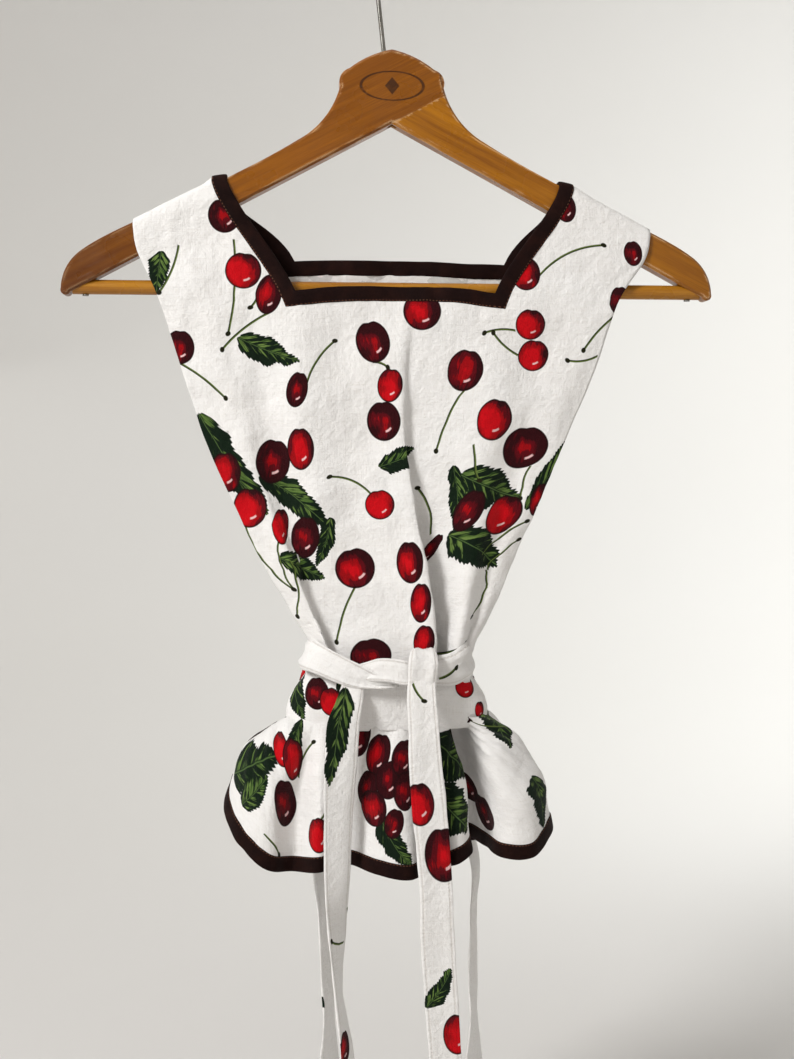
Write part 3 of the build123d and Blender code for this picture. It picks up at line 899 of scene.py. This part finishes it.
def strip(left, right, thickness, around, per_span=1, folds=None):
    """A closed flat strip between two edges, as a grid that goes round its section."""
    left, right = np.asarray(left, float), np.asarray(right, float)
    if per_span > 1:
        left, right = dense(left, per_span), dense(right, per_span)
    middle, half = (left + right) / 2, (right - left) / 2
    along = unit(np.gradient(middle, axis=0))
    normal = unit(np.cross(along, half))
    turn = np.linspace(0.0, 2 * math.pi, around + 1)
    cosine, sine = np.cos(turn), np.sin(turn)
    cosine[np.abs(cosine) < 1e-9], sine[np.abs(sine) < 1e-9] = 0.0, 0.0
    flat = -np.sign(cosine) * np.abs(cosine) ** FLATNESS
    lift = np.sign(sine) * np.abs(sine) ** 0.5
    points = middle[:, None] + half[:, None] * flat[None, :, None]
    points = points + normal[:, None] * (lift * thickness / 2)[None, :, None]
    if folds is not None:
        share = np.linspace(0.0, 1.0, len(middle))[:, None]
        points = points + normal[:, None] * folds(share, flat[None, :])[..., None]
    reach = np.linalg.norm(half, axis=1)[:, None]
    front = turn[None, :] <= math.pi + 1e-6
    across = np.where(front, flat[None, :], 2.0 - flat[None, :]) * reach
    down = np.broadcast_to(-run_lengths(middle[:, None], 0)[:, :1], across.shape)
    place = np.where(front, flat[None, :], NOWHERE) + np.zeros_like(across)
    return points, across, down, place


def binding(name, cloth, path, cloth_side, node):
    """A brown strip folded over an edge. cloth_side is the sign of the side that the cloth is on."""
    left, right = edge_strip(cloth, path, BINDING_HALF)
    points, across, down, place = strip(left, right, BINDING_THICK, 16)
    place = place * cloth_side
    made = build(name, points, across, down, "apron", wrapped=True, place=place, skins=(BROWN,))
    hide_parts(node)
    return made


build_stage()

# ---------------------------------------------------------------- the two bodices

FRONT_CHERRIES = (
    (-108, -196, 9.8, 10.5, 0.15), (-96, -231, 11.1, 11.1, 0.8), (-80, -246, 7.9, 12.4, 0.3),
    (-137, -280, 9.2, 10.5, 0.2), (-62, -307, 6.6, 11.1, 0.15), (-13, -276, 10.5, 13.1, 0.2),
    (-2, -304, 7.9, 10.5, 0.9), (-6, -327, 10.5, 12.4, 0.2), (19, -256, 11.8, 11.8, 0.5),
    (90, -264, 9.5, 9.5, 0.8), (92, -284, 9.8, 9.8, 0.75), (47, -294, 11.1, 13.1, 0.45),
    (87, -231, 9.2, 10.5, 0.6), (113, -188, 6.6, 9.2, 0.3), (158, -217, 5.9, 7.9, 0.2),
    (150, -248, 6.6, 9.2, 0.2), (66, -326, 11.1, 13.1, 0.8), (87, -344, 14.4, 13.1, 0.15),
    (96, -378, 5.2, 10.5, 0.3), (72, -388, 12.4, 12.4, 0.8), (48, -385, 9.2, 13.1, 0.1),
    (-108, -360, 9.8, 12.4, 0.6), (-78, -353, 11.1, 13.8, 0.15), (-60, -345, 8.5, 13.1, 0.7),
    (-92, -383, 11.1, 12.4, 0.8), (-73, -395, 5.9, 11.1, 0.8), (-57, -402, 9.2, 13.1, 0.1),
    (-9, -381, 9.2, 9.2, 1.0), (-25, -422, 12.4, 12.4, 0.5), (10, -418, 8.5, 13.1, 0.5),
    (17, -444, 6.6, 12.4, 0.6), (19, -469, 6.6, 10.5, 0.6), (-15, -479, 13.1, 11.1, 0.2),
    (25, -411, 4.3, 10.5, 0.1),
)
FRONT_STEMS = (
    (-102, -211, -106, -272), (-86, -242, -92, -255), (-80, -258, -110, -282), (-137, -215, -150, -246),
    (-137, -290, -107, -313), (-56, -304, -37, -275), (-13, -289, -3, -293), (80, -268, 59, -270),
    (82, -284, 65, -269), (47, -306, 28, -347), (96, -232, 139, -212), (146, -258, 125, -281),
    (135, -284, 114, -287), (61, -424, 51, -455), (-67, -417, -63, -454), (-14, -375, -42, -363),
    (-25, -434, -37, -471), (25, -401, 16, -370), (48, -470, 28, -479), (58, -414, 90, -392),
    (62, -424, 84, -404), (-96, -392, -64, -436), (-74, -404, -64, -436), (52, -342, 56, -366),
    (90, -356, 84, -378),
)
FRONT_LEAVES = (
    (-98, -274, -62, -288, 0.9), (-148, -220, -151, -245, 1.1), (-123, -325, -84, -384, 0.62),
    (-84, -364, -46, -392, 0.85), (-41, -391, -49, -419, 0.8), (-72, -416, -46, -428, 1.0),
    (45, -362, 82, -376, 1.1), (88, -382, 115, -339, 0.66), (40, -358, 40, -396, 0.6),
    (38, -402, 66, -420, 1.0), (-8, -356, 12, -345, 1.0),
)

front_cloth, front_keep, front_path = bodice(FRONT_ROWS, -1.0, 3.0)
front_print = pinned(front_cloth, FRONT_CHERRIES, FRONT_STEMS, FRONT_LEAVES, 4)
bodice_front = panel("bodice_front", front_cloth, front_print, CLOTH, "front_bodice", front_keep)

back_cloth, back_keep, back_path = bodice(BACK_ROWS, 1.0, 17.0)
back_print = scattered(back_cloth, 8)
bodice_back = panel("bodice_back", back_cloth, back_print, CLOTH, "back_bodice", back_keep)

neck_front = binding("neck_strip_front", front_cloth, front_path, -1.0, "front_neck_binding")
neck_back = binding("neck_strip_back", back_cloth, back_path, -1.0, "back_neck_binding")

# ---------------------------------------------------------------- waistband and peplums

WAIST_MIDDLE = -3.0
# height, half width and depth
WAIST_ROWS = (
    (-488, 51, 22.5), (-494, 55, 24), (-501, 60, 25), (-509, 65, 25), (-518, 67, 25), (-527, 66, 25)
)
WAIST_COLUMNS = 17


def waistband(side, seed):
    """Half of the band round the waist, on one side, and its cloth coordinates."""
    net = []
    for z, half, depth in WAIST_ROWS:
        row = []
        for column in range(WAIST_COLUMNS):
            angle = math.pi * column / (WAIST_COLUMNS - 1)
            x = -math.copysign(abs(math.cos(angle)) ** 0.8, math.cos(angle)) * half
            y = math.sin(angle) ** 0.75 * depth if 0 < column < WAIST_COLUMNS - 1 else 0.0
            row.append((WAIST_MIDDLE + x, side * y, z))
        net.append(row if side < 0 else row[::-1])
    points = dense_net(net, 8, 8)
    points = rumple(points, 22.0, 1.0, seed)
    points = rumple(points, 7.0, 0.35, seed + 2)
    return (points,) + lay_out(points, points.shape[1] // 2)


WAIST_CHERRIES = (
    (-50, -503, 8, 10, 0.1), (-41, -508, 7, 9, 0.85), (47, -500, 7.3, 7.3, 0.85), (57, -516, 4, 5.3, 0.8),
)
WAIST_LEAVES = ((-66, -489, -58, -520, 0.8), (-36, -496, -30, -522, 0.7))
waist_cloth = waistband(-1.0, 31.0)
waist_print = pinned(waist_cloth, WAIST_CHERRIES, (), WAIST_LEAVES, 5)
waist_front = panel("waist_front", waist_cloth, waist_print, BAND_CLOTH, "front_waistband")
waist_back_cloth = waistband(1.0, 41.0)
waist_back_print = scattered(waist_back_cloth, 9)
waist_back = panel("waist_back", waist_back_cloth, waist_back_print, BAND_CLOTH, "back_waistband")

FALL = (0.0, 0.1, 0.28, 0.58, 1.0)  # shares of the way down from the seam
FLARE_POWER = 2.4
FRONT_SEAM = (
    (-61, -2), (-66, -6), (-66, -11), (-62, -15), (-55, -18), (-47, -19.5), (-37, -20.5), (-26, -20.5),
    (-14, -20.5), (0, -20.5), (11, -20.5), (21, -20.5), (28, -19.5), (33, -18), (35, -15),
)
FRONT_HEM = (
    (-97, 8, -552), (-106, -4, -564), (-107, -18, -577), (-98, -33, -592), (-82, -41, -606),
    (-66, -29, -611), (-50, -42, -608.5), (-31, -28, -608), (-12, -43, -611), (8, -45, -614),
    (22, -33, -611), (37, -44, -605), (47, -39, -600), (48, -28, -597), (42, -18, -594),
)
BACK_SEAM = (
    (33, -5), (37, -4), (41, -5), (45, -14), (50, -20), (56, -18), (62, -6), (63, 6), (58, 13),
    (50, 18), (38, 21), (24, 22), (8, 23), (-8, 23), (-26, 22), (-42, 21), (-54, 17), (-62, 10), (-66, 2),
)
BACK_HEM = (
    (28, -2, -599), (42, 4, -600), (53, 4, -601), (60, -14, -602), (70, -36, -604),
    (90, -36, -603.5), (104, -17, -592), (103, 5, -594), (96, 26, -603), (78, 38, -609), (57, 32, -611),
    (36, 43, -613), (10, 36, -612), (-16, 44, -613), (-42, 35, -612), (-64, 43, -611), (-84, 35, -607),
    (-94, 17, -596), (-92, 2, -584),
)
SEAM_Z, SEAM_RISE = -520.0, 0.08


def peplum(seam, hem, seed):
    """A gathered panel that flares from the seam to its fluted hem."""
    net = []
    for fall in FALL:
        flare = 1 - (1 - fall) ** FLARE_POWER
        row = []
        for (x0, y0), (x1, y1, z1) in zip(seam, hem):
            z0 = SEAM_Z + SEAM_RISE * max(0.0, abs(x0) - 50)
            row.append((x0 + (x1 - x0) * flare, y0 + (y1 - y0) * flare, z0 + (z1 - z0) * fall))
        net.append(row)
    points = dense_net(net, 10, 10)
    across, down = lay_out(points, points.shape[1] // 2)
    fading = np.exp(down / 26.0) - np.exp(down / 4.0)
    gather = 2.0 * np.sin(across / 2.4 + 2.2 * np.sin(across / 11.0)) * fading
    edges = np.clip(np.minimum(across - across[:, :1], across[:, -1:] - across) / 14.0 - 0.3, 0, 1)
    points = points + normals_of(points) * (gather * edges)[..., None]
    rows = np.linspace(0, 1, points.shape[0])[:, None]
    damp = np.broadcast_to(np.clip(rows * 4, 0.2, 1), points.shape[:2])
    points = rumple(points, 24.0, 2.0, seed, damp)
    points = rumple(points, 8.0, 0.5, seed + 2, damp)
    return points, across, down


PEPLUM_CHERRIES = (
    (-74, -537, 6, 9, 0.85), (-64, -544, 6.5, 12, 0.7), (-71, -571, 8.5, 14, 0.1),
    (-50, -590, 8, 11, 0.75), (-24, -531, 8.5, 12, 0.1), (-11, -541, 7.5, 12, 0.3),
    (-19, -562, 7, 11, 0.05), (-15, -574, 9, 11, 0.4), (-5, -556, 8, 11, 0.05), (5, -543, 7, 10, 0.1),
    (6, -563, 7.5, 11, 0.1), (-2, -583, 6, 9, 0.2),
)
PEPLUM_STEMS = ((-62, -556, -52, -533), (-48, -580, -40, -560), (-84, -588, -74, -604))
PEPLUM_LEAVES = (
    (-104, -556, -78, -542, 1.0), (-98, -572, -82, -554, 0.8), (-10, -578, 8, -608, 1.0),
    (26, -532, 46, -554, 1.2), (28, -562, 46, -588, 1.2), (-60, -522, -66, -552, 0.6),
)
peplum_cloth = peplum(FRONT_SEAM, FRONT_HEM, 51.0)
peplum_print = pinned(peplum_cloth, PEPLUM_CHERRIES, PEPLUM_STEMS, PEPLUM_LEAVES, 6)
peplum_front = panel("peplum_front", peplum_cloth, peplum_print, CLOTH, "front_peplum")
peplum_back_cloth = peplum(BACK_SEAM, BACK_HEM, 61.0)
LOBE_END = 70
LOBE_CHERRIES = ((51, -570, 12, 11, 0.1), (60, -584, 12, 11, 0.05))
LOBE_LEAVES = ((62, -519, 76, -538, 0.8), (91, -560, 98, -590, 1.2))
lobe_part = tuple(part[:, :LOBE_END] for part in peplum_back_cloth)
lobe_print = pinned(lobe_part, LOBE_CHERRIES, (), LOBE_LEAVES, 7)
hidden_part = tuple(part[:, LOBE_END:] for part in peplum_back_cloth)
lobe_print += scattered(hidden_part, 12)
peplum_back = panel("peplum_back", peplum_back_cloth, lobe_print, CLOTH, "back_peplum")


def hem_path(cloth):
    """Down one side edge, along the hem, and up the other side edge."""
    rows, columns = cloth[0].shape[:2]
    path = [(r, 0) for r in range(2, rows - 1)]
    path += [(rows - 1, c) for c in range(columns)]
    return path + [(r, columns - 1) for r in range(rows - 2, 1, -1)]


front_path, back_path = hem_path(peplum_cloth), hem_path(peplum_back_cloth)
hem_front = binding("hem_strip_front", peplum_cloth, front_path, 1.0, "front_hem_binding")
hem_back = binding("hem_strip_back", peplum_back_cloth, back_path, 1.0, "back_hem_binding")

# ---------------------------------------------------------------- ties, knots and tails

TAIL_WIDTH, TURN_TOP = 20.0, -620.0
CREASE_SLANT = 0.3
# creases of a strip: their depth in millimetres, how many lie across it, and the strip's thickness
FRONT_CREASES = (1.5, 2.1, 1.8)
BACK_CREASES = (1.1, 1.6, 2.4)
TAIL_CREASES = (0.7, 1.1, 1.9)


def tie(name, sections, body, node, motifs_from, seed, depth, waves, thick, per_span=10):
    """A folded cotton strip given by its left and right edge points, with lengthwise creases."""
    left = [s[0] for s in sections]
    right = [s[1] for s in sections]

    def folds(share, flat):
        turn = flat * waves / 2 + seed * 0.37 + CREASE_SLANT * share
        swing = 1 - 4 * np.abs(turn - np.floor(turn) - 0.5)
        return depth * swing * (0.45 + 0.55 * np.abs(np.cos(share * 3.0 + seed)))

    points, across, down, place = strip(left, right, thick, 28, per_span, folds)
    points = rumple(points, 15.0, 0.5, seed * 7.0)
    points[:, -1] = points[:, 0]
    cloth = (points, across, down)
    made = build(name, *cloth, body, motifs_from(cloth), wrapped=True, place=place)
    if node:
        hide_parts(node)
    return made


WRAP_LEFT = (
    ((-54, 10, -489), (-48, 8, -467)), ((-60, 0, -488), (-53, 0, -466)),
    ((-60, -14, -488), (-53, -13, -467)), ((-53, -22, -489), (-45, -25, -471)),
    ((-39, -28, -494), (-32, -31.5, -477.5)), ((-26, -30, -498), (-20, -34.5, -483.5)),
    ((-12, -32, -498), (-8, -35, -490)), ((2, -33, -497), (2, -33, -491)),
)
WRAP_RIGHT = (
    ((16, -28, -496), (16, -31, -482)), ((26, -27.5, -497.5), (24, -31, -479)),
    ((38, -26.5, -498), (37, -29, -476)), ((48, -21.5, -495), (46, -24, -471)),
    ((53, -12, -493), (51, -11, -469)), ((53, 0, -491), (51, 0, -469)), ((48, 10, -491), (46, 10, -469)),
)
LOOP = (
    ((-31, -28, -497), (-28, -28, -484)), ((-22, -31, -494), (-19.5, -31, -481.5)),
    ((-13, -35, -493), (-11, -34.5, -478.5)), ((-3, -37.5, -493.5), (-2, -37, -478.5)),
    ((6, -38.5, -495), (7, -38, -480)), ((12, -36, -494), (13, -35, -482)),
)
KNOT = (
    ((13, -26, -478), (22, -26, -478)), ((11, -31, -474), (24, -31, -474)),
    ((9, -37, -474.5), (26, -36.5, -475.5)), ((7.5, -40.5, -481), (27, -40, -482)),
    ((7, -41, -490), (26, -40.5, -490)), ((7.5, -40.5, -498), (25, -40, -497)),
)


def plain(cloth):
    return []


def one_stem(cloth):
    return pinned(cloth, (), ((28, -493, 41, -484),), (), 2)


def strewn(seed):
    return lambda cloth: scattered(cloth, seed, 44.0)


tie_left = tie("wrap_left", WRAP_LEFT, "apron", "front_tie_left", plain, 3, *FRONT_CREASES)
tie_right = tie("wrap_right", WRAP_RIGHT, "apron", "front_tie_right", one_stem, 5, *FRONT_CREASES)
loop = tie("knot_loop", LOOP, "apron", None, plain, 11, 1.2, 1.8, 2.0)
knot = tie("knot_wrap", KNOT, "apron", "front_knot", plain, 13, 1.1, 1.5, 2.2)

TAIL_RIGHT = (
    ((8, -38, -487), (25, -38, -486)), ((6.5, -43, -500), (25, -43, -498)),
    ((7, -47, -525), (26.5, -46.5, -522)), ((7.5, -48.5, -553), (29, -48, -550)),
    ((10, -48.5, -582), (32, -48.5, -580)), ((14, -48.5, -624), (35, -48.5, -622)),
    ((14.5, -49, -654), (36.5, -48, -655)), ((17.5, -48.5, -700), (39, -49, -700)),
    ((20.5, -49, -740), (41.5, -48, -740)), ((22, -48, -790), (43, -49, -790)),
    ((23, -48.5, -843), (44, -48.5, -843)),
)
TAIL_LEFT = (
    ((-33, -27.5, -484), (-19, -27.5, -486)), ((-34.5, -29, -496), (-20, -29, -499)),
    ((-38.5, -35, -506), (-21.5, -35, -509)), ((-44, -43, -519), (-23.5, -40, -522)),
    ((-46, -47.5, -545), (-25, -42, -543)), ((-46.5, -48.5, -575), (-27.5, -42, -572)),
    ((-46, -49, -622), (-30, -41, -622)), ((-43.5, -49, -655), (-32, -48, -655)),
    ((-39, -48, -697), (-34, -49.5, -694)), ((-35.5, -47.5, -735), (-27.5, -49, -733)),
    ((-34, -48, -790), (-19, -49, -790)), ((-35, -48.5, -843), (-16, -48.5, -843)),
)
BACK_TAIL_LEFT = (
    ((-4, 38, -512), (-24, 38, -514)), ((-8, 42, -530), (-30, 42, -532)),
    ((-24, 47, -575), (-44, 47, -580)), ((-41, 48.5, -630), (-52, 48, -632)),
    ((-42, 49, -665), (-48.5, 48, -667)), ((-38, 48, -712), (-46.5, 49, -712)),
    ((-37, 48.5, -745), (-45, 48, -745)), ((-32, 48.5, -795), (-50, 48.5, -795)),
    ((-31, 48.5, -843), (-52, 48.5, -843)),
)
BACK_TAIL_RIGHT = (
    ((22, 38, -514), (4, 38, -512)), ((32, 42, -534), (12, 42, -530)), ((52, 47, -582), (32, 47, -576)),
    ((66, 48.5, -632), (58, 48, -630)), ((64.5, 49, -668), (58, 48, -667)),
    ((65, 48, -712), (56.5, 49, -712)), ((65, 48.5, -745), (57.5, 48, -745)),
    ((70, 48.5, -795), (53, 48.5, -795)), ((71, 48.5, -843), (51, 48.5, -843)),
)


def full_width(left, right):
    """Turns a section's right edge inward, below the hem, until the section is as wide as the strip."""
    (x0, y0, z0), (x1, y1, z1) = left, right
    short = TAIL_WIDTH**2 - (x1 - x0) ** 2 - (z1 - z0) ** 2
    share = min(max((TURN_TOP - z0) / 25.0, 0.0), 1.0)
    if short <= 0 or share == 0:
        return left, right
    return left, (x1, y1 - math.copysign(math.sqrt(short) * share, y1), z1)


def tail(name, sections, node, cherries, stems, leaves, seed):
    """A loose tie end that hangs from its knot and turns to the strip's full width below the hem."""
    sections = [full_width(*s) for s in sections]

    def print_from(cloth):
        return pinned(cloth, cherries, stems, leaves, seed)

    made = tie(name, sections, None, node, print_from, seed, *TAIL_CREASES, 12)
    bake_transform(made)
    return made


tail_front_right = tail(
    "tie_end_front_right",
    TAIL_RIGHT,
    "front_tail_right",
    ((16, -569, 9, 13.5, 0.8), (26, -602, 11.5, 17, 0.35), (39, -718, 9, 13, 0.9), (34, -790, 9, 12, 0.3)),
    ((7, -481, 14, -505), (24, -770, 32, -752)), ((16, -699, 34, -677, 0.9), (22, -820, 40, -800, 0.9)),
    21,
)
tail_front_left = tail(
    "tie_end_front_left",
    TAIL_LEFT,
    "front_tail_left",
    ((-33, -727, 6, 10, 0.3), (-28, -806, 8, 11, 0.8)),
    ((-30, -638, -38, -653), (-33, -661, -41, -656)),
    ((-30, -500, -42, -554, 0.6), (-40, -770, -24, -790, 1.0)),
    22,
)
tail_back_left = tail(
    "tie_end_back_left",
    BACK_TAIL_LEFT,
    "back_tail_left",
    ((-43, -694, 5, 8, 0.85), (-20, -560, 8, 11, 0.3), (-42, -812, 9, 12, 0.6)),
    ((-36, -620, -42, -600),), ((-46, -724, -38, -746, 1.0), (-40, -780, -46, -760, 1.0)),
    23,
)
tail_back_right = tail(
    "tie_end_back_right",
    BACK_TAIL_RIGHT,
    "back_tail_right",
    ((60, -728, 4, 6, 0.3), (40, -575, 9, 12, 0.8), (61, -815, 9, 12, 0.3)),
    ((52, -610, 58, -596),), ((62, -700, 60, -716, 1.0), (62, -742, 60, -758, 1.0)),
    24,
)

BACK_RIGHT = (
    ((50, 6, -507), (50, 6, -487)), ((56, 14, -510), (54, 13, -490)), ((48, 26, -516), (46, 25, -496)),
    ((30, 31, -522), (29, 30, -504)), ((12, 34, -523), (11, 34, -509)), ((0, 35, -521), (0, 35, -510)),
)
BACK_LEFT = (
    ((0, 35, -521), (0, 35, -510)), ((-12, 34, -523), (-11, 34, -509)),
    ((-30, 31, -522), (-30, 30, -503)), ((-50, 26, -515), (-49, 25, -495)),
    ((-60, 14, -510), (-58, 13, -490)), ((-56, 6, -507), (-56, 6, -487)),
)
BACK_KNOT = (
    ((11, 28, -506), (-11, 28, -506)), ((12, 35, -503), (-12, 35, -503)),
    ((12.5, 41, -507), (-12, 41, -507)), ((12, 43, -516), (-13, 43, -516)),
    ((11, 41, -524), (-12, 41, -524)), ((10, 36, -528), (-10, 36, -528)),
)
back_right = tie("wrap_back_right", BACK_RIGHT, "apron", "back_tie_right", strewn(101), 31, *BACK_CREASES)
back_left = tie("wrap_back_left", BACK_LEFT, "apron", "back_tie_left", strewn(103), 33, *BACK_CREASES)
back_knot = tie("knot_back", BACK_KNOT, "apron", "back_knot", strewn(107), 37, 0.9, 1.2, 3.4)

# ---------------------------------------------------------------- hanger


def dress(node, skin, bevel=0.0):
    """A CAD node in its real material, with its sharp edges rounded for show."""
    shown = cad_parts[node]
    shown.data.materials.clear()
    shown.data.materials.append(skin)
    weld = shown.modifiers.new("weld", "WELD")
    weld.merge_threshold = 0.00002
    if bevel:
        rounding = shown.modifiers.new("edges", "BEVEL")
        rounding.width = bevel * MM
        rounding.segments = 3
        rounding.limit_method = "ANGLE"
        rounding.angle_limit = math.radians(24)
    shown.data.shade_smooth()
    shown.modifiers.new("smooth", "WEIGHTED_NORMAL")


dress("arm_left", LEFT_WOOD_PAINTED_SHADE, 1.0)
dress("arm_right", RIGHT_WOOD, 1.0)
dress("trouser_bar", BAR_WOOD)
dress("hook_wire", STEEL)
dress("hook_collar", STEEL)
dress("bar_nails", STEEL)
